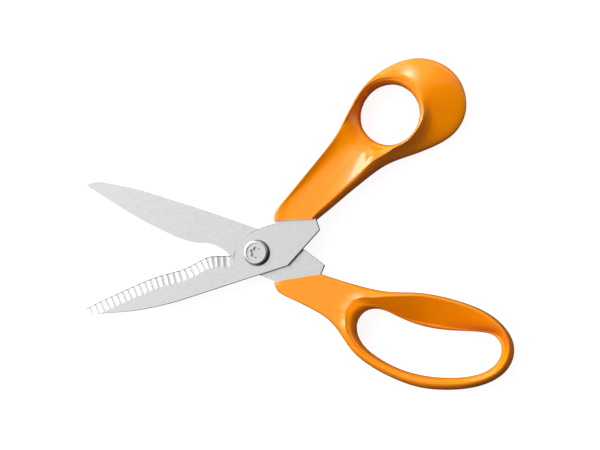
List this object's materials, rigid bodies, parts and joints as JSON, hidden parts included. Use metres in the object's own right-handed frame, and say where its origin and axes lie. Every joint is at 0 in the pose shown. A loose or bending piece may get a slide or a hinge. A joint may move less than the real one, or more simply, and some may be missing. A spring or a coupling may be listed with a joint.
{
  "type": "fabric shears",
  "caption": "Right-handed fabric shears with a fluted front blade, a plain back blade, a screw pivot, a round thumb ring and a long finger loop.",
  "frame": {"origin": "on the pivot axis, at the end of the screw, which is level with the lowest points of the handles: z = 0 is the surface that the shears lie on", "axes": "+Z along the pivot axis towards the screw head, -X along the middle of the opening towards the tips, +Y towards the thumb ring"},
  "size_m": [0.2114, 0.1577, 0.017],
  "materials": {
    "blade_steel": "fine satin, ground bright on the fluted bevel",
    "screw_steel": "turned and polished",
    "handle_plastic": "glossy injection-moulded orange"
  },
  "bodies": {
    "finger_half": {"plain_blade": "blade_steel", "finger_handle": "handle_plastic", "pivot_screw": "screw_steel", "spring_washer": "screw_steel", "pivot_nut": "screw_steel"},
    "thumb_half": {"serrated_blade": "blade_steel", "thumb_handle": "handle_plastic"}
  },
  "joints": [
    {"name": "pivot", "type": "hinge", "parent": "finger_half", "child": "thumb_half", "pos_m": [0, 0, 0.008], "axis": [0, 0, 1], "range_deg": [-38.8, 56]}
  ]
}
